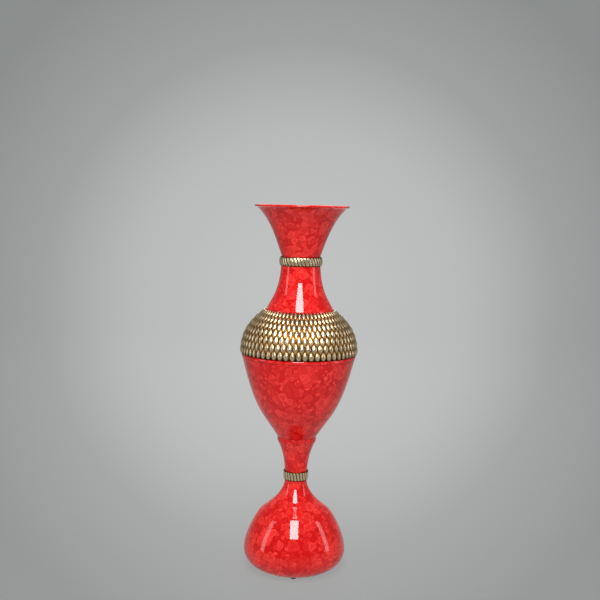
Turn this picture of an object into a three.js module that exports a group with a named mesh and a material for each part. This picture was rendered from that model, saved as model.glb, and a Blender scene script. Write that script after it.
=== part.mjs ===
// Tall metal flower vase: spun shells clamped by a rod, with an embossed band and two fluted collars.
// Millimetres, +Z up. The origin is on the floor, on the axis of the vase.
import * as THREE from "three";

// Sheet, clearances and fineness
const sheet = 1.6;
const clearance = 0.3;
const ringSegments = 28;
const slimSegments = 16;
const rodSides = 12;

// Heights of the joints, from the floor
const mouthHeight = 610;
const neckCollarTop = 525.5;
const neckCollarHeight = 14.5;
const bandTop = 438.5;
const bandBottom = 366.3;
const bellyRingHeight = 6.6;
const bowlFoot = 226;
const stemCupHeight = 7;
const stemJoint = 160;
const stemCollarHeight = 14.5;
const stemCollarCentre = 159.8;
const baseWidestHeight = 35;
const footHeight = 2;

// Outer radii
const mouthRadius = 76;
const trumpetNeckRadius = 31.8;
const shoulderNeckRadius = 32.5;
const bandTopRadius = 56.8;
const bandRadius = 96.4;
const bandOverBowl = 2.6;
const bowlRadius = bandRadius - bandOverBowl;
const bellyRingProud = 1.2;
const stemCupRadius = 32.5;
const stemRadius = 18.9;
const baseNeckRadius = 18.4;
const baseRadius = 85.2;
const baseWaistRadius = 59.3;
const baseWaistHeight = 98.2;
const footRadius = 58;

// Handles of the curves, each a share of the way across and up from the curve's start to its end
const trumpetHandles = [[0.24, 0.365], [0.457, 0.745]];
const shoulderHandles = [[0.348, 0.248], [0.884, 0.388]];
const bandHandles = [[0, 0.41], [0.235, 0.685]];
const bowlHandles = [[0.43, 0.3], [0.64, 0.332]];
const stemHandles = [[0.08, 0.46], [0.5, 0.76]];
const baseNeckHandles = [[0.191, 0.153], [0.988, 0.48]];
const domeHandles = [[0, 0.355], [0.741, 0.886]];
const footHandles = [[0, 0], [1, 0.2]];

// Mouth: a wire-sized lip rolled outwards
const lipRadius = 2;
const lipSteps = 4;
const lipStart = -0.25 * Math.PI;
const lipTurn = 0.9 * Math.PI;
const trumpetNeckLength = 6.2;

// Sleeve inside the neck
const sleeveLength = 28;
const sleeveWall = 1.3;

// Embossed band: rows of bosses, each row half a pitch round from the next
const bossRows = 7;
const bossesPerRow = 60;
const bossProud = 1.0;
const bossSunk = 0.8;
const bandSheet = 1.3;
const bandInnerSteps = 3;
const lapLength = 9;
const shoulderEdgeIn = 1.2;
const shoulderEdgeUp = 0.2;

// Fluted collars: outlines as wall thickness and share of the height, from the bottom
const neckCollarFlutes = 36;
const neckCollarOutline = [[1.2, 0], [2.5, 0.28], [2.5, 0.72], [1.2, 1]];
const stemCollarFlutes = 24;
const stemCollarOutline = [[1, 0], [1.4, 0.35], [1.6, 0.8], [1.1, 1]];
const fluteDepth = 0.7;

// Spigot of the bowl inside the band, and its foot inside the stem's cup
const bowlSpigotHeight = 13;
const bowlSpigotStep = 0.8;
const bowlFootDepth = 4.7;
const cupFloorWidth = 9.6;

// Clamp: rod, nuts, washers, gasket and plate
const rodDiameter = 8;
const nutAcrossFlats = 13;
const nutThickness = 6.5;
const washerDiameter = 24;
const washerThickness = 1.6;
const gasketDiameter = 34;
const gasketThickness = 2.5;
const rodBeyondNut = 3;
const boltHoleClearance = 0.5;
const turnedEdge = 10;
const plateDish = 14;
const plateDishRadius = 22;
const plateThickness = 2;
const plateRimIn = 1;

// Pads
const padCount = 4;
const padDiameter = 9;

const red = { color: 0xd8141c, roughness: 0.18, metalness: 0.1 };
const brass = { color: 0xb08d4e, roughness: 0.35, metalness: 0.9 };
const steel = { color: 0x9a9c9e, roughness: 0.4, metalness: 0.9 };
const rubber = { color: 0x232323, roughness: 0.8, metalness: 0 };

const vase = new THREE.Group();
const point = (radius, height) => new THREE.Vector2(radius, height);

function addPiece(name, geometry, finish) {
  const mesh = new THREE.Mesh(geometry, new THREE.MeshStandardMaterial(finish));
  mesh.name = name;
  vase.add(mesh);
  return mesh;
}

// Points of a cubic curve between two ends, with its handles as shares of the way between them.
function curve(start, end, handles, steps) {
  const across = end.x - start.x;
  const up = end.y - start.y;
  const [first, second] = handles.map((share) => point(start.x + share[0] * across, start.y + share[1] * up));
  return new THREE.CubicBezierCurve(start, first, second, end).getPoints(steps);
}

// The line moved sideways: to its left, seen along it, where the distance is positive.
function moved(line, distance) {
  return line.map((here, index) => {
    const before = line[Math.max(index - 1, 0)];
    const after = line[Math.min(index + 1, line.length - 1)];
    const along = after.clone().sub(before).normalize();
    return point(here.x - along.y * distance, here.y + along.x * distance);
  });
}

// A closed section, upwards outside and downwards inside, turned round the axis.
function turned(section, segments = ringSegments) {
  return new THREE.LatheGeometry([...section, section[0]], segments).rotateX(Math.PI / 2);
}

// A closed section that changes from column to column, joined all round the axis.
// foldsBack says which diagonal splits the face between two columns and two points of the section.
function turnedByColumn(columns, sectionAt, foldsBack) {
  const positions = [];
  const index = [];
  const size = sectionAt(0).length;
  for (let column = 0; column < columns; column++) {
    const angle = (column / columns) * 2 * Math.PI;
    for (const corner of sectionAt(column)) {
      positions.push(corner.x * Math.cos(angle), corner.x * Math.sin(angle), corner.y);
    }
  }
  for (let column = 0; column < columns; column++) {
    const here = column * size;
    const next = ((column + 1) % columns) * size;
    for (let low = 0; low < size; low++) {
      const high = (low + 1) % size;
      if (foldsBack(column, low)) {
        index.push(here + low, next + low, here + high);
        index.push(next + low, next + high, here + high);
      } else {
        index.push(here + low, next + low, next + high);
        index.push(here + low, next + high, here + high);
      }
    }
  }
  const geometry = new THREE.BufferGeometry();
  geometry.setAttribute("position", new THREE.Float32BufferAttribute(positions, 3));
  geometry.setIndex(index);
  geometry.computeVertexNormals();
  return geometry;
}

// Washer, gasket or other flat ring, standing on the given height.
function flatRing(innerRadius, outerRadius, bottom, thickness, segments = slimSegments) {
  return turned([
    point(innerRadius, bottom),
    point(outerRadius, bottom),
    point(outerRadius, bottom + thickness),
    point(innerRadius, bottom + thickness),
  ], segments);
}

// Line of the embossed band halfway between the tops and the bottoms of its bosses, upwards.
function bandLine() {
  const start = point(bandRadius, bandBottom);
  return new THREE.SplineCurve(curve(start, point(bandTopRadius, bandTop), bandHandles, 200));
}

// Inner side of the embossed band, downwards.
function bandInside() {
  return moved(bandLine().getSpacedPoints(bandInnerSteps), bossSunk + bandSheet).reverse();
}

function addTrumpet() {
  const neckTop = neckCollarTop + clearance;
  const lipHeight = mouthHeight - lipRadius;
  const outside = curve(
    point(trumpetNeckRadius, neckTop), point(mouthRadius, lipHeight), trumpetHandles, 8);
  const inside = moved(outside, sheet).slice(0, -1).reverse();
  const lip = [];
  for (let step = 0; step < lipSteps; step++) {
    const angle = lipStart + (lipTurn * step) / (lipSteps - 1);
    lip.push(point(mouthRadius + lipRadius * Math.cos(angle), lipHeight + lipRadius * Math.sin(angle)));
  }
  const neckBottom = neckTop - trumpetNeckLength;
  addPiece("trumpet", turned([
    point(trumpetNeckRadius - sheet, neckBottom),
    point(trumpetNeckRadius, neckBottom),
    ...outside.slice(0, -1),
    ...lip,
    ...inside,
  ]), red);
}

// Fluted ring: its outline bulges, and every other column is cut back.
function addCollar(name, flutes, innerRadius, outline, bottom, height) {
  const sectionAt = (column) => {
    const cut = column % 2 === 0 ? 0 : fluteDepth;
    const outside = outline.map(([thickness, share], index) => {
      const atEnd = index === 0 || index === outline.length - 1;
      return point(innerRadius + thickness - (atEnd ? 0 : cut), bottom + share * height);
    });
    return [point(innerRadius, bottom), ...outside, point(innerRadius, bottom + height)];
  };
  addPiece(name, turnedByColumn(flutes * 2, sectionAt, (column) => column % 2 === 0), brass);
}

function addNeckSleeve() {
  const outer = trumpetNeckRadius - sheet - clearance;
  const middle = neckCollarTop + clearance - trumpetNeckLength;
  addPiece("neck_sleeve", flatRing(
    outer - sleeveWall, outer, middle - sleeveLength / 2, sleeveLength, ringSegments), steel);
}

// The shoulder's lower edge laps inside the band, along the band's inner side.
function addShoulder() {
  const top = neckCollarTop - trumpetNeckLength;
  const collarBottom = neckCollarTop - neckCollarHeight;
  const [bandEdge, bandNext] = bandInside();
  const downBand = bandNext.clone().sub(bandEdge).setLength(lapLength);
  const lap = moved([bandEdge.clone().add(downBand), bandEdge], clearance);
  const bell = curve(
    point(bandTopRadius - shoulderEdgeIn, bandTop + shoulderEdgeUp),
    point(shoulderNeckRadius, collarBottom),
    shoulderHandles,
    7,
  );
  const outside = [...lap, ...bell, point(shoulderNeckRadius, top)];
  const inside = moved(outside, sheet).reverse();
  addPiece("shoulder", turned([...outside, ...inside]), red);
}

function addBellyBand() {
  const lines = bossRows * 2 + 1;
  const middle = bandLine().getSpacedPoints(lines - 1);
  const raised = moved(middle, -bossProud);
  const sunk = moved(middle, bossSunk);
  const inner = bandInside();
  const isPeak = (column, at) => at % 2 === 1 && at < lines && (column + (at - 1) / 2) % 2 === 0;
  const sectionAt = (column) => {
    const outside = middle.map((_, at) => (isPeak(column, at) ? raised[at] : sunk[at]));
    return [...outside, ...inner];
  };
  // The fold runs beside a boss's top, never across it, so each boss is a lozenge.
  const foldsBack = (column, low) => isPeak(column, low) || isPeak(column + 1, low + 1);
  addPiece("belly_band", turnedByColumn(bossesPerRow * 2, sectionAt, foldsBack), brass);
}

function addBellyRing() {
  const top = bandBottom - clearance;
  const bottom = top - bellyRingHeight;
  const inner = bowlRadius - bowlSpigotStep + clearance;
  const outer = bowlRadius + bellyRingProud;
  addPiece("belly_ring", turned([
    point(inner, bottom),
    point(bowlRadius, bottom),
    point(outer, bottom + bellyRingHeight / 4),
    point(outer, top - bellyRingHeight / 4),
    point(bowlRadius, top),
    point(inner, top),
  ], ringSegments), red);
}

function addBowl() {
  const top = bandBottom - bellyRingHeight - 2 * clearance;
  const outside = curve(
    point(stemCupRadius, bowlFoot), point(bowlRadius, top), bowlHandles, 8);
  const spigotRadius = bowlRadius - bowlSpigotStep;
  const footRadiusInCup = stemCupRadius - sheet - clearance;
  const floorBottom = bowlFoot - bowlFootDepth;
  const hole = rodDiameter / 2 + boltHoleClearance;
  const inside = moved(outside, sheet).reverse();
  addPiece("bowl", turned([
    point(hole, floorBottom),
    point(footRadiusInCup, floorBottom),
    point(footRadiusInCup, bowlFoot),
    ...outside,
    point(spigotRadius, top),
    point(spigotRadius, top + bowlSpigotHeight),
    point(spigotRadius - sheet, top + bowlSpigotHeight),
    ...inside.slice(0, -1),
    point(footRadiusInCup - sheet, floorBottom + sheet),
    point(hole, floorBottom + sheet),
  ]), red);
}

function addStem() {
  const cupTop = bowlFoot - clearance;
  const cupBottom = bowlFoot - stemCupHeight;
  const bottom = stemJoint + clearance / 2;
  const outside = curve(
    point(stemRadius, stemCollarCentre + stemCollarHeight / 2),
    point(stemCupRadius, cupBottom),
    stemHandles,
    6,
  );
  const inside = moved(outside, sheet).reverse();
  const floorTop = bowlFoot - bowlFootDepth - clearance;
  const hole = rodDiameter / 2 + boltHoleClearance;
  addPiece("stem", turned([
    point(hole, bottom),
    point(stemRadius, bottom),
    ...outside,
    point(stemCupRadius, cupTop),
    point(stemCupRadius - sheet, cupTop),
    point(stemCupRadius - sheet, floorTop),
    point(stemCupRadius - sheet - cupFloorWidth, floorTop),
    point(stemCupRadius - sheet - cupFloorWidth, floorTop - sheet),
    point(inside[0].x, floorTop - sheet),
    ...inside.slice(1),
    point(stemRadius - sheet, bottom + sheet),
    point(hole, bottom + sheet),
  ]), red);
}

function addBaseDome() {
  const top = stemJoint - clearance / 2;
  const neckBottom = stemCollarCentre - stemCollarHeight / 2;
  const waist = point(baseWaistRadius, baseWaistHeight);
  const widest = point(baseRadius, baseWidestHeight);
  const floor = footHeight + clearance;
  const bottomCurve = curve(point(footRadius, floor), widest, footHandles, 5);
  const dome = curve(widest, waist, domeHandles, 3);
  const neck = curve(waist, point(baseNeckRadius, neckBottom), baseNeckHandles, 6);
  const outside = [...bottomCurve, ...dome.slice(1), ...neck.slice(1)];
  const inside = moved(outside, sheet).reverse();
  const hole = rodDiameter / 2 + boltHoleClearance;
  addPiece("base_dome", turned([
    point(footRadius - turnedEdge, floor),
    ...outside,
    point(baseNeckRadius, top),
    point(hole, top),
    point(hole, top - sheet),
    point(baseNeckRadius - sheet, top - sheet),
    ...inside.slice(0, -1),
    point(footRadius, floor + sheet),
    point(footRadius - turnedEdge, floor + sheet),
  ]), red);
}

const plateBottom = footHeight + 2 * clearance + sheet;
const dishBottom = plateBottom + plateDish;

function addBasePlate() {
  const rim = footRadius - plateRimIn;
  const foot = plateDishRadius + plateDish / 2;
  addPiece("base_plate", turned([
    point(rodDiameter / 2 + boltHoleClearance, dishBottom),
    point(plateDishRadius, dishBottom),
    point(foot, plateBottom),
    point(rim, plateBottom),
    point(rim, plateBottom + plateThickness),
    point(foot + plateThickness / 2, plateBottom + plateThickness),
    point(plateDishRadius + plateThickness / 2, dishBottom + plateThickness),
    point(rodDiameter / 2 + boltHoleClearance, dishBottom + plateThickness),
  ], ringSegments), steel);
}

function hexNut(bottom) {
  const cornerRadius = nutAcrossFlats / Math.sqrt(3);
  const corners = [];
  for (let side = 0; side < 6; side++) {
    const angle = (side * Math.PI) / 3;
    corners.push(point(cornerRadius * Math.cos(angle), cornerRadius * Math.sin(angle)));
  }
  const outline = new THREE.Shape(corners);
  const bore = new THREE.Path().absarc(0, 0, rodDiameter / 2 + clearance, 0, 2 * Math.PI, true);
  outline.holes.push(bore);
  return new THREE.ExtrudeGeometry(outline, { depth: nutThickness, bevelEnabled: false, curveSegments: rodSides / 2 })
    .translate(0, 0, bottom);
}

function addClamp() {
  const hole = rodDiameter / 2 + boltHoleClearance;
  const gasketBottom = bowlFoot - bowlFootDepth + sheet + clearance;
  const bowlWasherBottom = gasketBottom + gasketThickness + clearance;
  const bowlNutBottom = bowlWasherBottom + washerThickness + clearance;
  const rodTop = bowlNutBottom + nutThickness + rodBeyondNut;
  addPiece("bowl_gasket", flatRing(hole, gasketDiameter / 2, gasketBottom, gasketThickness), rubber);
  addPiece("bowl_washer", flatRing(hole, washerDiameter / 2, bowlWasherBottom, washerThickness), steel);
  addPiece("bowl_nut", hexNut(bowlNutBottom), steel);

  const plateWasherBottom = dishBottom - clearance - washerThickness;
  const plateNutBottom = plateWasherBottom - clearance - nutThickness;
  const rodBottom = plateNutBottom - rodBeyondNut;
  addPiece("plate_washer", flatRing(hole, washerDiameter / 2, plateWasherBottom, washerThickness), steel);
  addPiece("plate_nut", hexNut(plateNutBottom), steel);

  const rodLength = rodTop - rodBottom;
  const rod = new THREE.CylinderGeometry(rodDiameter / 2, rodDiameter / 2, rodLength, rodSides)
    .rotateX(Math.PI / 2)
    .translate(0, 0, rodBottom + rodLength / 2);
  addPiece("tie_rod", rod, steel);
}

function addFootPads() {
  for (let pad = 0; pad < padCount; pad++) {
    const angle = (pad * 2 * Math.PI) / padCount;
    const disc = new THREE.CylinderGeometry(padDiameter / 2, padDiameter / 2, footHeight, rodSides)
      .rotateX(Math.PI / 2);
    const mesh = addPiece(`foot_pad_${pad + 1}`, disc, rubber);
    const centre = footRadius - turnedEdge / 2;
    mesh.position.set(centre * Math.cos(angle), centre * Math.sin(angle), footHeight / 2);
  }
}

addTrumpet();
addCollar("neck_collar", neckCollarFlutes, shoulderNeckRadius + clearance,
  neckCollarOutline, neckCollarTop - neckCollarHeight, neckCollarHeight);
addNeckSleeve();
addShoulder();
addBellyBand();
addBellyRing();
addBowl();
addStem();
addCollar("stem_collar", stemCollarFlutes, stemRadius + clearance,
  stemCollarOutline, stemCollarCentre - stemCollarHeight / 2, stemCollarHeight);
addBaseDome();
addBasePlate();
addClamp();
addFootPads();

export default vase;
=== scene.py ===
"""Tall metal flower vase: red lacquered shells, an embossed brass band and two fluted collars."""
import math

import bpy
from mathutils import Matrix, Vector


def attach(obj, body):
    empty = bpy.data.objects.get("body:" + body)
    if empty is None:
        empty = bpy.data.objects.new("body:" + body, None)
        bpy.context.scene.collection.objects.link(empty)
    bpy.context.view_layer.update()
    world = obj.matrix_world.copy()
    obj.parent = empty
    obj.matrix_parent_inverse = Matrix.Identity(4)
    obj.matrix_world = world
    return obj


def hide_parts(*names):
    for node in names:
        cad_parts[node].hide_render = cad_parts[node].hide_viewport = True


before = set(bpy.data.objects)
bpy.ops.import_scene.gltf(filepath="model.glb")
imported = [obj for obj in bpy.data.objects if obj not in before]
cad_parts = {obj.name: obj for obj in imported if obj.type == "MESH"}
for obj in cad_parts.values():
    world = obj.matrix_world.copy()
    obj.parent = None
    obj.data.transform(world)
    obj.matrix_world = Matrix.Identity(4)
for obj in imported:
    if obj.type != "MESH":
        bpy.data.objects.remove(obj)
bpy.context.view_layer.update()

bpy.ops.object.select_all(action="DESELECT")

MM = 0.001
TURN = 2 * math.pi
Z_AXIS = (0, 0, 1)

# Sizes of the vase in millimetres, as the CAD has them. A pair is a bottom and a top, except
# BASE_WAIST and BASE_WIDEST, which are points of the outline: (radius, height).
SHEET = 1.6
GAP = 0.3
MOUTH_TOP = 610
MOUTH_RADIUS = 76
LIP_RADIUS = 2
NECK_COLLAR = (511, 525.5)
NECK_RADIUS = 31.8
NECK_LENGTH = 6.2
SHOULDER_RADIUS = 32.5
SHOULDER_LAP = 9
SHOULDER_EDGE_IN = 1.2
SHOULDER_EDGE_UP = 0.2
BAND = (366.3, 438.5)
BAND_BOTTOM_RADIUS = 96.4
BAND_TOP_RADIUS = 56.8
BAND_SHEET = 1.3
BAND_SUNK = 0.8
RING_HEIGHT = 6.6
RING_PROUD = 1.2
BOWL_RADIUS = 93.8
BOWL_FOOT = 226
BOWL_FOOT_DEPTH = 4.7
SPIGOT_STEP = 0.8
SPIGOT_HEIGHT = 13
CUP_RADIUS = 32.5
CUP_BOTTOM = 219
CUP_FLOOR_WIDTH = 9.6
STEM_RADIUS = 18.9
STEM_JOINT = 160
STEM_COLLAR = (152.55, 167.05)
BASE_NECK_RADIUS = 18.4
BASE_WAIST = (59.3, 98.2)
BASE_WIDEST = (85.2, 35)
FOOT_RADIUS = 58
TURNED_EDGE = 10
FLOOR_OF_BASE = 2.3
ROD_HOLE = 4.5

# The two handles that pull each curved outline, as (radius, height)
TRUMPET_HANDLES = ((42.4, 555.8), (52, 587))
SHOULDER_HANDLES = ((47.57, 456.6), (35.2, 466.8))
BAND_HANDLES = ((96.4, 395.902), (87.094, 415.757))
BOWL_HANDLES = ((58.86, 265.9), (71.73, 270.2))
STEM_HANDLES = ((20, 190.9), (25.7, 206.5))
BASE_NECK_HANDLES = ((51.5, 106.5), (18.9, 124.3))
DOME_HANDLES = ((85.2, 57.4), (66, 91))
FOOT_HANDLES = ((58, 2.3), (85.2, 8.9))

# The lip and the red ring: angles in half turns, the ring's bead and its hidden inner face in mm
LIP_START = -0.25
LIP_TURN = 0.9
BEAD_REACH = 1.8
RING_INSIDE = 0.5

# The bosses: their ground under the band's middle line and their height over that ground in mm,
# half their height in rows, half their width in columns, how pointed their outline is (1 is a
# lozenge, 2 an oval) and how flat their tops are (1 is a pyramid, less is rounder)
BOSS_GROUND = 0.9
BOSS_HEIGHT = 2.3
BOSS_UP = 0.78
BOSS_ASIDE = 0.5
BOSS_OUTLINE = 1.4
BOSS_TOP = 0.75

# The flutes: their height in mm, the plain margin above and below them and how steeply they rise
# from it, both as shares of the collar's height, and how flat their tops are, as for the bosses
FLUTE_HEIGHT = 0.9
FLUTE_MARGIN = 0.02
FLUTE_RISE = 8
FLUTE_TOP = 0.8

# How near to a piece's inner face or to a line of the band a vertex counts as on it, in mm
ON_FACE = 0.2
ON_LINE = 0.1

# Fineness: columns round the axis of a plain shell, of the band and of a collar, and lines up them
SHELL_COLUMNS = 160
BOSS_ROWS = 7
BOSSES = 60
COLUMNS_PER_BOSS = 8
LINES_PER_ROW = 8
BACK_LINES = 14
NECK_FLUTES = 36
STEM_FLUTES = 24
COLUMNS_PER_FLUTE = 8
ROUND_STEPS = 12

# The camera, in metres, pixels and degrees, as worked back from the photograph
IMAGE = 600
FOCAL_PIXELS = 950
HORIZON_ROW = 208
CAMERA_PLACE = (0, -1.563, 0.6053)
CAMERA_ROLL = 1.38

# The paper that is floor and backdrop, in metres, and the point where its pale glow is centred
PAPER_WIDTH = 8
PAPER_DEPTH = 6
PAPER_SWEEP = 1.2
PAPER_RISE = 3
SWEEP_STEPS = 16
GLOW_CENTRE = (0, 4.2, 0.05)
GLOW_SHARE = 0.9

# Point of the vase's axis that the lamps look at, in metres
LAMPS_AIM = (0, 0, 0.3)

# Sockets of a Mix node for colours
MIX_FACTOR, MIX_FIRST, MIX_SECOND, MIX_RESULT = 0, 6, 7, 2


# Outlines

def curve(start, first, second, end, steps):
    """Points of a cubic curve from start to end, pulled by two handles."""
    start, first, second, end = map(Vector, (start, first, second, end))
    line = []
    for step in range(steps + 1):
        t = step / steps
        s = 1 - t
        line.append(start * s**3 + first * 3 * s * s * t + second * 3 * s * t * t + end * t**3)
    return line


def arc(middle, reach, half_height, start, turn):
    """Points of a round or oval arc. Its start and its turn are in half turns."""
    line = []
    for step in range(ROUND_STEPS + 1):
        angle = math.pi * (start + turn * step / ROUND_STEPS)
        line.append(Vector((middle[0] + reach * math.cos(angle),
                            middle[1] + half_height * math.sin(angle))))
    return line


def moved(line, distance):
    """The line moved sideways: to its left, seen along it, where the distance is positive."""
    out = []
    for index, here in enumerate(line):
        before = line[max(index - 1, 0)]
        after = line[min(index + 1, len(line) - 1)]
        along = (after - before).normalized()
        out.append(here + Vector((-along.y, along.x)) * distance)
    return out


def evenly(line, count):
    """The line's points spread anew, so that each of its count steps is as long as the next."""
    lengths = [(b - a).length for a, b in zip(line, line[1:])]
    whole = sum(lengths)
    out, index, passed = [line[0]], 0, 0
    for step in range(1, count):
        goal = whole * step / count
        while passed + lengths[index] < goal:
            passed += lengths[index]
            index += 1
        out.append(line[index].lerp(line[index + 1], (goal - passed) / lengths[index]))
    return out + [line[-1]]


def points(*pairs):
    return [Vector(pair) for pair in pairs]


# Meshes

def spun(name, outline, columns):
    """A closed outline of (radius, height), extruded point by point and spun round the axis."""
    bpy.ops.mesh.primitive_plane_add(size=MM)
    piece = bpy.context.object
    piece.name = piece.data.name = name
    bpy.ops.object.mode_set(mode="EDIT")
    bpy.ops.mesh.merge(type="CENTER")
    places = [Vector((corner.x, 0, corner.y)) * MM for corner in [*outline, outline[0]]]
    bpy.ops.transform.translate(value=places[0])
    for here, there in zip(places, places[1:]):
        bpy.ops.mesh.extrude_region_move(TRANSFORM_OT_translate={"value": there - here})
    bpy.ops.mesh.select_all(action="SELECT")
    bpy.ops.mesh.remove_doubles(threshold=0.01 * MM)
    bpy.ops.mesh.spin(steps=columns, angle=TURN, center=(0, 0, 0), axis=Z_AXIS)
    bpy.ops.mesh.select_all(action="SELECT")
    bpy.ops.mesh.remove_doubles(threshold=0.01 * MM)
    bpy.ops.mesh.normals_make_consistent(inside=False)
    bpy.ops.object.mode_set(mode="OBJECT")
    return piece


def embossed(piece, relief_at, height):
    """Raises the piece along its normals by height times relief_at(vertex).

    The relief is also kept as an attribute, which paints highlight and shade onto the brass.
    """
    reliefs = [relief_at(vertex) for vertex in piece.data.vertices]
    group = piece.vertex_groups.new(name="raised")
    for index, relief in enumerate(reliefs):
        if relief > 0:
            group.add([index], relief, "REPLACE")
    push = piece.modifiers.new("emboss", "DISPLACE")
    push.vertex_group = group.name
    push.strength = height * MM
    push.mid_level = 0
    bpy.ops.object.modifier_apply(modifier=push.name)
    piece.vertex_groups.clear()
    kept = piece.data.attributes.new("relief", "FLOAT", "POINT")
    kept.data.foreach_set("value", reliefs)


def finished(piece, node, material, sharpest=40):
    """Material, place in the frame and shading, smooth over edges of up to sharpest degrees."""
    bpy.ops.object.shade_smooth_by_angle(angle=math.radians(sharpest))
    piece.data.materials.clear()
    piece.data.materials.append(material)
    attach(piece, "root")
    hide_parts(node)
    piece.select_set(False)


# Materials

def colour(code):
    """sRGB hex to linear RGBA."""
    out = []
    for start in (1, 3, 5):
        value = int(code[start:start + 2], 16) / 255
        out.append(value / 12.92 if value <= 0.04045 else ((value + 0.055) / 1.055) ** 2.4)
    return (*out, 1)


def add_node(tree, kind, settings=None, links=None):
    """A node with its settings and the links to its inputs.

    A setting is an attribute by name, or a socket by name or number.
    """
    node = tree.nodes.new(kind)
    for key, value in (settings or {}).items():
        if isinstance(key, str) and hasattr(node, key):
            setattr(node, key, value)
        else:
            node.inputs[key].default_value = value
    for key, output in (links or {}).items():
        tree.links.new(output, node.inputs[key])
    return node


def new_material(name):
    """An empty material, its node tree, its shader and the place on the object in metres."""
    material = bpy.data.materials.new(name)
    material.use_nodes = True
    tree = material.node_tree
    tree.nodes.clear()
    shader = add_node(tree, "ShaderNodeBsdfPrincipled")
    add_node(tree, "ShaderNodeOutputMaterial", None, {"Surface": shader.outputs[0]})
    place = add_node(tree, "ShaderNodeTexCoord").outputs["Object"]
    return material, tree, shader, place


def set_shader(shader, settings):
    for socket, value in settings.items():
        shader.inputs[socket].default_value = value


def add_ramp(tree, factor, stops):
    """The colour that a ramp of (position, hex code) gives for the factor."""
    node = add_node(tree, "ShaderNodeValToRGB", None, {"Fac": factor})
    elements = node.color_ramp.elements
    while len(elements) < len(stops):
        elements.new(0.5)
    for element, (position, code) in zip(elements, stops):
        element.position = position
        element.color = colour(code)
    return node.outputs[0]


def add_math(tree, operation, settings, links):
    return add_node(tree, "ShaderNodeMath", {"operation": operation, **settings}, links).outputs[0]


def mottled_lacquer():
    """Red lacquer, dabbed on while wet so that it drew together in drops, under a clear gloss coat.

    To the eye: rounded coral drops 3 to 14 mm across, crowded like pebbles, each a little paler at
    its rim, on a deeper red that shows between them, all under a hard wet gloss.
    """
    material, tree, shader, place = new_material("mottled_red_lacquer")
    wobble = add_node(tree, "ShaderNodeTexNoise", {"Scale": 1 / (9 * MM), "Detail": 1.0},
                      {"Vector": place})
    bend = add_node(tree, "ShaderNodeVectorMath", {"operation": "MULTIPLY_ADD", 1: (4 * MM,) * 3},
                    {0: wobble.outputs["Color"], 2: place})
    paint = None
    for spacing, smallest in ((7, 0.2), (14, 0.42)):
        scale = 1 / (spacing * MM)
        cells = add_node(tree, "ShaderNodeTexVoronoi", {"Scale": scale},
                         {"Vector": bend.outputs[0]})
        edge = add_node(tree, "ShaderNodeTexVoronoi",
                        {"feature": "DISTANCE_TO_EDGE", "Scale": scale},
                        {"Vector": bend.outputs[0]})
        lot = add_node(tree, "ShaderNodeSeparateColor", None, {"Color": cells.outputs["Color"]})
        radius = add_math(tree, "MULTIPLY_ADD", {1: 0.45, 2: smallest}, {0: lot.outputs[0]})
        inside = add_math(tree, "SUBTRACT", {}, {0: radius, 1: cells.outputs["Distance"]})
        clear = add_math(tree, "MINIMUM", {}, {0: inside, 1: edge.outputs["Distance"]})
        drop = add_ramp(tree, clear, [(0.01, "#000000"), (0.05, "#ffffff"), (0.12, "#c8c8c8"),
                                      (0.3, "#a4a4a4")])
        strength = add_math(tree, "MULTIPLY", {}, {0: drop, 1: lot.outputs[1]})
        layer = add_node(tree, "ShaderNodeMix", {"data_type": "RGBA"}, {MIX_FACTOR: strength})
        if paint is None:
            layer.inputs[MIX_FIRST].default_value = colour("#cb0103")
        else:
            tree.links.new(paint, layer.inputs[MIX_FIRST])
        layer.inputs[MIX_SECOND].default_value = colour("#ff3f38")
        paint = layer.outputs[MIX_RESULT]
    tree.links.new(paint, shader.inputs["Base Color"])
    flow = add_node(tree, "ShaderNodeBump", {"Strength": 0.12, "Distance": 0.2 * MM},
                    {"Height": wobble.outputs[0]})
    tree.links.new(flow.outputs[0], shader.inputs["Coat Normal"])
    set_shader(shader, {"Roughness": 0.4, "IOR": 1.5, "Specular IOR Level": 0.0,
                        "Coat Weight": 1.0, "Coat Roughness": 0.05, "Coat IOR": 1.6})
    return material


def brass_with_painted_light():
    """Embossed sheet brass, with painted shade in the hollows and painted highlight on the tops.

    To the eye: cream to gold tops, a coppery gold flank and dark brown hollows.
    """
    material, tree, shader, place = new_material("embossed_brass_painted_light")
    relief = add_node(tree, "ShaderNodeAttribute", {"attribute_name": "relief"})
    stain = add_node(tree, "ShaderNodeTexNoise", {"Scale": 1 / (6 * MM), "Detail": 3.0},
                     {"Vector": place})
    # Painted shade in the hollows and painted highlight on the tops, with a random stain mixed in
    relief_shade_and_stain = add_math(tree, "MULTIPLY_ADD", {1: 0.3},
                       {0: stain.outputs[0], 2: relief.outputs["Fac"]})
    painted_light_and_stain = add_math(tree, "SUBTRACT", {1: 0.15}, {0: relief_shade_and_stain})
    tone = add_ramp(tree, painted_light_and_stain, [(0.05, "#3a2210"), (0.28, "#8c5a2a"), (0.46, "#d4a566"),
                                   (0.72, "#fdecc8")])
    tree.links.new(tone, shader.inputs["Base Color"])
    worn = add_node(tree, "ShaderNodeMapRange", {"To Min": 0.5, "To Max": 0.24}, {"Value": painted_light_and_stain})
    tree.links.new(worn.outputs[0], shader.inputs["Roughness"])
    set_shader(shader, {"Metallic": 1.0})
    return material


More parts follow.
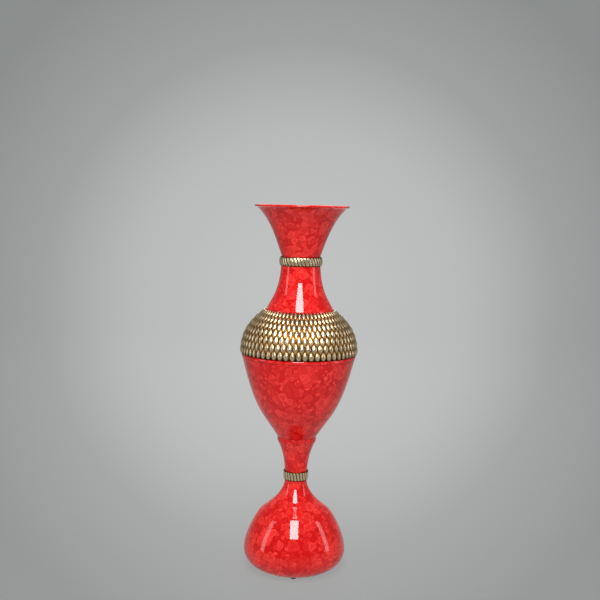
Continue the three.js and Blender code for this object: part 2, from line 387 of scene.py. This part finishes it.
def zinc_plated_steel():
    """Pressed steel with bright zinc plating: pale grey, faintly spangled, with a soft shine."""
    material, tree, shader, place = new_material("zinc_plated_steel")
    spangle = add_node(tree, "ShaderNodeTexVoronoi", {"Scale": 1 / (4 * MM)}, {"Vector": place})
    tone = add_ramp(tree, spangle.outputs["Distance"], [(0.0, "#a9adb0"), (1.0, "#c2c5c7")])
    tree.links.new(tone, shader.inputs["Base Color"])
    grain = add_node(tree, "ShaderNodeTexNoise", {"Scale": 1 / (1.5 * MM), "Detail": 4.0},
                     {"Vector": place})
    rough = add_node(tree, "ShaderNodeMapRange", {"To Min": 0.28, "To Max": 0.45},
                     {"Value": grain.outputs[0]})
    tree.links.new(rough.outputs[0], shader.inputs["Roughness"])
    set_shader(shader, {"Metallic": 1.0})
    return material


def black_rubber():
    """Moulded black rubber: dull charcoal with a fine tooth."""
    material, tree, shader, place = new_material("moulded_black_rubber")
    tooth = add_node(tree, "ShaderNodeTexNoise", {"Scale": 1 / (0.8 * MM), "Detail": 3.0},
                     {"Vector": place})
    tone = add_ramp(tree, tooth.outputs[0], [(0.3, "#1b1b1c"), (0.7, "#29292a")])
    tree.links.new(tone, shader.inputs["Base Color"])
    rise = add_node(tree, "ShaderNodeBump", {"Strength": 0.3, "Distance": 0.1 * MM},
                    {"Height": tooth.outputs[0]})
    tree.links.new(rise.outputs[0], shader.inputs["Normal"])
    set_shader(shader, {"Roughness": 0.75})
    return material


RED = mottled_lacquer()
BRASS = brass_with_painted_light()
STEEL = zinc_plated_steel()
RUBBER = black_rubber()


# Pieces

def make_trumpet():
    neck_top = NECK_COLLAR[1] + GAP
    neck_bottom = neck_top - NECK_LENGTH
    lip_height = MOUTH_TOP - LIP_RADIUS
    outside = curve((NECK_RADIUS, neck_top), *TRUMPET_HANDLES, (MOUTH_RADIUS, lip_height), steps=32)
    inside = moved(outside, SHEET)[:-1][::-1]
    lip = arc((MOUTH_RADIUS, lip_height), LIP_RADIUS, LIP_RADIUS, LIP_START, LIP_TURN)
    outline = [
        *points((NECK_RADIUS - SHEET, neck_bottom), (NECK_RADIUS, neck_bottom)),
        *outside[:-1], *lip, *inside,
    ]
    finished(spun("trumpet_shell", outline, SHELL_COLUMNS), "trumpet", RED)


def make_shoulder():
    """The shoulder. Its lower edge laps behind the band and follows the band's inner face."""
    edge = moved(band_line(), BAND_SUNK + BAND_SHEET + GAP)[::-1]
    lap = [corner for corner in edge if (corner - edge[0]).length < SHOULDER_LAP][::-1]
    bell = curve((BAND_TOP_RADIUS - SHOULDER_EDGE_IN, BAND[1] + SHOULDER_EDGE_UP),
                 *SHOULDER_HANDLES, (SHOULDER_RADIUS, NECK_COLLAR[0]), steps=36)
    outside = [*lap[::4], *bell, Vector((SHOULDER_RADIUS, NECK_COLLAR[1] - NECK_LENGTH))]
    outline = [*outside, *moved(outside, SHEET)[::-1]]
    finished(spun("shoulder_shell", outline, SHELL_COLUMNS), "shoulder", RED)


def band_line():
    """Line of the band halfway between the tops and the bottoms of its bosses, upwards."""
    return curve((BAND_BOTTOM_RADIUS, BAND[0]), *BAND_HANDLES, (BAND_TOP_RADIUS, BAND[1]),
                 steps=200)


def make_band():
    """The gold band, with rows of bosses, each row half a boss round from the next."""
    lines = BOSS_ROWS * LINES_PER_ROW
    ground = moved(evenly(band_line(), lines), BOSS_GROUND)
    back = moved(evenly(band_line(), BACK_LINES), BOSS_GROUND + BAND_SHEET)[::-1]
    piece = spun("embossed_band", [*ground, *back], BOSSES * COLUMNS_PER_BOSS)

    def relief_at(vertex):
        place = vertex.co / MM
        spot = Vector((math.hypot(place.x, place.y), place.z))
        line = min(range(lines + 1), key=lambda number: (ground[number] - spot).length_squared)
        if (ground[line] - spot).length > ON_LINE or line in (0, lines):
            return 0.0
        along = line / LINES_PER_ROW
        round_axis = math.atan2(place.y, place.x) / TURN * BOSSES
        best = 0.0
        for row in range(BOSS_ROWS):
            up = (along - row - 0.5) / BOSS_UP
            column = round_axis + row * 0.5
            side = (column - round(column)) / BOSS_ASIDE
            best = max(best, 1 - abs(side) ** BOSS_OUTLINE - abs(up) ** BOSS_OUTLINE)
        return best ** BOSS_TOP

    embossed(piece, relief_at, BOSS_HEIGHT)
    finished(piece, "belly_band", BRASS, 180)


def make_ring():
    top = BAND[0] - GAP
    bottom = top - RING_HEIGHT
    inner = BOWL_RADIUS - RING_INSIDE
    half = RING_HEIGHT / 2
    middle = (BOWL_RADIUS + RING_PROUD - BEAD_REACH, bottom + half)
    bead = arc(middle, BEAD_REACH, half, -0.5, 1)
    outline = [Vector((inner, bottom)), *bead, Vector((inner, top))]
    finished(spun("belly_bead", outline, SHELL_COLUMNS), "belly_ring", RED)


def make_bowl():
    top = BAND[0] - RING_HEIGHT - 2 * GAP
    outside = curve((CUP_RADIUS, BOWL_FOOT), *BOWL_HANDLES, (BOWL_RADIUS, top), steps=48)
    inside = moved(outside, SHEET)[::-1]
    spigot = BOWL_RADIUS - SPIGOT_STEP
    spigot_top = top + SPIGOT_HEIGHT
    foot = CUP_RADIUS - SHEET - GAP
    floor = BOWL_FOOT - BOWL_FOOT_DEPTH
    outline = [
        *points((ROD_HOLE, floor), (foot, floor), (foot, BOWL_FOOT)),
        *outside,
        *points((spigot, top), (spigot, spigot_top), (spigot - SHEET, spigot_top)),
        *inside[:-1],
        *points((foot - SHEET, floor + SHEET), (ROD_HOLE, floor + SHEET)),
    ]
    finished(spun("bowl_shell", outline, SHELL_COLUMNS), "bowl", RED)


def make_stem():
    cup_top = BOWL_FOOT - GAP
    cup_floor = cup_top - BOWL_FOOT_DEPTH
    cup_inside = CUP_RADIUS - SHEET
    floor_inside = cup_inside - CUP_FLOOR_WIDTH
    bottom = STEM_JOINT + GAP / 2
    outside = curve((STEM_RADIUS, STEM_COLLAR[1]), *STEM_HANDLES, (CUP_RADIUS, CUP_BOTTOM),
                    steps=30)
    inside = moved(outside, SHEET)[::-1]
    outline = [
        *points((ROD_HOLE, bottom), (STEM_RADIUS, bottom)),
        *outside,
        *points((CUP_RADIUS, cup_top), (cup_inside, cup_top), (cup_inside, cup_floor),
                (floor_inside, cup_floor), (floor_inside, cup_floor - SHEET),
                (inside[0].x, cup_floor - SHEET)),
        *inside[1:],
        *points((STEM_RADIUS - SHEET, bottom + SHEET), (ROD_HOLE, bottom + SHEET)),
    ]
    finished(spun("stem_shell", outline, SHELL_COLUMNS), "stem", RED)


def make_base():
    top = STEM_JOINT - GAP / 2
    foot = curve((FOOT_RADIUS, FLOOR_OF_BASE), *FOOT_HANDLES, BASE_WIDEST, steps=24)
    dome = curve(BASE_WIDEST, *DOME_HANDLES, BASE_WAIST, steps=24)
    neck = curve(BASE_WAIST, *BASE_NECK_HANDLES, (BASE_NECK_RADIUS, STEM_COLLAR[0]), steps=32)
    outside = [*foot, *dome[1:], *neck[1:]]
    inside = moved(outside, SHEET)[::-1]
    edge = FOOT_RADIUS - TURNED_EDGE
    outline = [
        Vector((edge, FLOOR_OF_BASE)),
        *outside,
        *points((BASE_NECK_RADIUS, top), (ROD_HOLE, top), (ROD_HOLE, top - SHEET),
                (BASE_NECK_RADIUS - SHEET, top - SHEET)),
        *inside[:-1],
        *points((FOOT_RADIUS, FLOOR_OF_BASE + SHEET), (edge, FLOOR_OF_BASE + SHEET)),
    ]
    finished(spun("base_shell", outline, SHELL_COLUMNS), "base_dome", RED)


def make_collar(name, node, flutes, inner, span, wall, slant):
    """Ring pressed into leaning flutes.

    Wall gives its thickness in mm at each share of its height. Slant is how many flutes a groove
    leans over that height.
    """
    bottom, top = span
    height = top - bottom
    shares = [step / ROUND_STEPS for step in range(ROUND_STEPS + 1)]
    face = [Vector((inner + wall(share), bottom + share * height)) for share in shares]
    outline = [Vector((inner, bottom)), *face, Vector((inner, top))]
    piece = spun(name, outline, flutes * COLUMNS_PER_FLUTE)

    def relief_at(vertex):
        place = vertex.co / MM
        share = (place.z - bottom) / height
        inside = math.hypot(place.x, place.y) < inner + ON_FACE
        if inside or not FLUTE_MARGIN < share < 1 - FLUTE_MARGIN:
            return 0.0
        phase = math.atan2(place.y, place.x) * flutes + TURN * slant * share
        fade = min(1.0, FLUTE_RISE * share, FLUTE_RISE * (1 - share))
        return fade * abs(math.cos(phase / 2)) ** FLUTE_TOP

    embossed(piece, relief_at, FLUTE_HEIGHT)
    finished(piece, node, BRASS, 60)


def rounded_wall(share):
    """Wall of the neck collar: 1 mm at its edges and 2 mm halfway up."""
    return 1.0 + math.sin(math.pi * share)


def widening_wall(share):
    """Wall of the stem collar: 0.7 mm at its lower edge and 1.3 mm at its upper."""
    return 0.7 + 0.6 * share


make_trumpet()
make_shoulder()
make_band()
make_ring()
make_bowl()
make_stem()
make_base()
make_collar("neck_fluting", "neck_collar", NECK_FLUTES, SHOULDER_RADIUS + GAP, NECK_COLLAR,
            rounded_wall, slant=1.0)
make_collar("stem_fluting", "stem_collar", STEM_FLUTES, STEM_RADIUS + GAP, STEM_COLLAR,
            widening_wall, slant=0.5)

# The inner pieces keep their CAD meshes
for node_name in ("neck_sleeve", "bowl_washer", "bowl_nut", "tie_rod", "base_plate",
                  "plate_washer", "plate_nut"):
    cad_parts[node_name].material_slots[0].material = STEEL
for node_name in ("bowl_gasket", "foot_pad_1", "foot_pad_2", "foot_pad_3", "foot_pad_4"):
    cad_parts[node_name].material_slots[0].material = RUBBER


# Floor and backdrop: one sheet of pale grey paper, curved up behind the vase

def grey_paper():
    """Matt grey paper, paler round one point, so that it looks lit from behind the vase.

    What the camera, reflections and clear things show of it is mostly a glow of its own.
    """
    material, tree, shader, place = new_material("matt_grey_paper")
    towards_glow = (Vector(GLOW_CENTRE) - Vector(CAMERA_PLACE)).normalized()
    offset = add_node(tree, "ShaderNodeVectorMath", {"operation": "SUBTRACT", 1: CAMERA_PLACE},
                      {0: place})
    ray = add_node(tree, "ShaderNodeVectorMath", {"operation": "NORMALIZE"},
                   {0: offset.outputs[0]})
    near = add_node(tree, "ShaderNodeVectorMath", {"operation": "DOT_PRODUCT", 1: towards_glow},
                    {0: ray.outputs[0]})
    tone = add_ramp(tree, near.outputs["Value"],
                    [(0.90, "#8c8f8e"), (0.93, "#8e9190"), (0.965, "#a3a5a4"),
                     (0.985, "#bdbfbe"), (1.0, "#c6c8c7")])
    set_shader(shader, {"Base Color": colour("#cfd1d0"), "Roughness": 0.9})
    glow = add_node(tree, "ShaderNodeEmission", None, {"Color": tone})
    path = add_node(tree, "ShaderNodeLightPath")
    direct = add_math(tree, "MAXIMUM", {},
                      {0: path.outputs["Is Camera Ray"], 1: path.outputs["Is Glossy Ray"]})
    shown = add_math(tree, "MAXIMUM", {},
                     {0: direct, 1: path.outputs["Is Transmission Ray"]})
    share = add_math(tree, "MULTIPLY", {1: GLOW_SHARE}, {0: shown})
    both = add_node(tree, "ShaderNodeMixShader", None,
                    {0: share, 1: shader.outputs[0], 2: glow.outputs[0]})
    output = next(node for node in tree.nodes if node.type == "OUTPUT_MATERIAL")
    tree.links.new(both.outputs[0], output.inputs["Surface"])
    return material


def make_backdrop():
    bpy.ops.mesh.primitive_plane_add(size=1)
    sheet = bpy.context.object
    sheet.name = "paper_backdrop"
    bpy.ops.object.mode_set(mode="EDIT")
    bpy.ops.transform.resize(value=(PAPER_WIDTH, PAPER_DEPTH, 1))
    bpy.ops.mesh.select_all(action="DESELECT")
    bpy.ops.object.mode_set(mode="OBJECT")
    for edge in sheet.data.edges:
        edge.select = all(sheet.data.vertices[end].co.y > 0 for end in edge.vertices)
    for vertex in sheet.data.vertices:
        vertex.select = vertex.co.y > 0
    bpy.ops.object.mode_set(mode="EDIT")
    length = PAPER_SWEEP * math.pi / 2 / SWEEP_STEPS
    for step in range(SWEEP_STEPS):
        angle = (step + 0.5) / SWEEP_STEPS * math.pi / 2
        bpy.ops.mesh.extrude_region_move(TRANSFORM_OT_translate={
            "value": (0, length * math.cos(angle), length * math.sin(angle))})
    bpy.ops.mesh.extrude_region_move(TRANSFORM_OT_translate={"value": (0, 0, PAPER_RISE)})
    bpy.ops.object.mode_set(mode="OBJECT")
    bpy.ops.object.shade_smooth()
    sheet.select_set(False)
    sheet.data.materials.append(grey_paper())


make_backdrop()


# Light: a plain pale surround, a tall softbox in front and above, and weak ones beside and behind

def make_world():
    world = bpy.data.worlds.new("pale_studio")
    world.use_nodes = True
    bpy.context.scene.world = world
    tree = world.node_tree
    tree.nodes.clear()
    seen = add_node(tree, "ShaderNodeBackground", {"Color": colour("#c8cbcb"), "Strength": 0.32})
    add_node(tree, "ShaderNodeOutputWorld", None, {"Surface": seen.outputs[0]})


def add_softbox(name, azimuth, elevation, distance, size, power):
    """A rectangular lamp that looks at the axis of the vase.

    Azimuth 0 is in front, positive to the right. Distance and size are in metres.
    """
    a, e = math.radians(azimuth), math.radians(elevation)
    lamp = bpy.data.lights.new(name, "AREA")
    lamp.shape = "RECTANGLE"
    lamp.size, lamp.size_y = size
    lamp.energy = power
    holder = bpy.data.objects.new(name, lamp)
    target = Vector(LAMPS_AIM)
    outward = Vector((math.sin(a) * math.cos(e), -math.cos(a) * math.cos(e), math.sin(e)))
    holder.location = target + distance * outward
    holder.rotation_euler = (target - holder.location).to_track_quat("-Z", "Y").to_euler()
    bpy.context.collection.objects.link(holder)


make_world()
add_softbox("front_softbox", -1, 46, distance=1.9, size=(0.7, 1.5), power=42)
add_softbox("left_strip", -75, 15, distance=2.2, size=(0.4, 1.6), power=4)
add_softbox("right_strip", 80, 15, distance=2.2, size=(0.4, 1.6), power=4)
add_softbox("rear_fill", 180, 38, distance=2.6, size=(1.6, 1.4), power=16)


# Camera: level with the mouth of the vase, looking a little down, as the photograph has it

lens = bpy.data.cameras.new("camera")
lens.sensor_width = 36
lens.lens = lens.sensor_width * FOCAL_PIXELS / IMAGE
camera = bpy.data.objects.new("camera", lens)
pitch = math.atan2(IMAGE / 2 - HORIZON_ROW, FOCAL_PIXELS)
camera.matrix_world = (
    Matrix.Translation(CAMERA_PLACE)
    @ Matrix.Rotation(math.pi / 2 - pitch, 4, "X")
    @ Matrix.Rotation(math.radians(CAMERA_ROLL), 4, "Z")
)
bpy.context.collection.objects.link(camera)
bpy.context.scene.camera = camera
bpy.context.scene.view_settings.view_transform = "Standard"
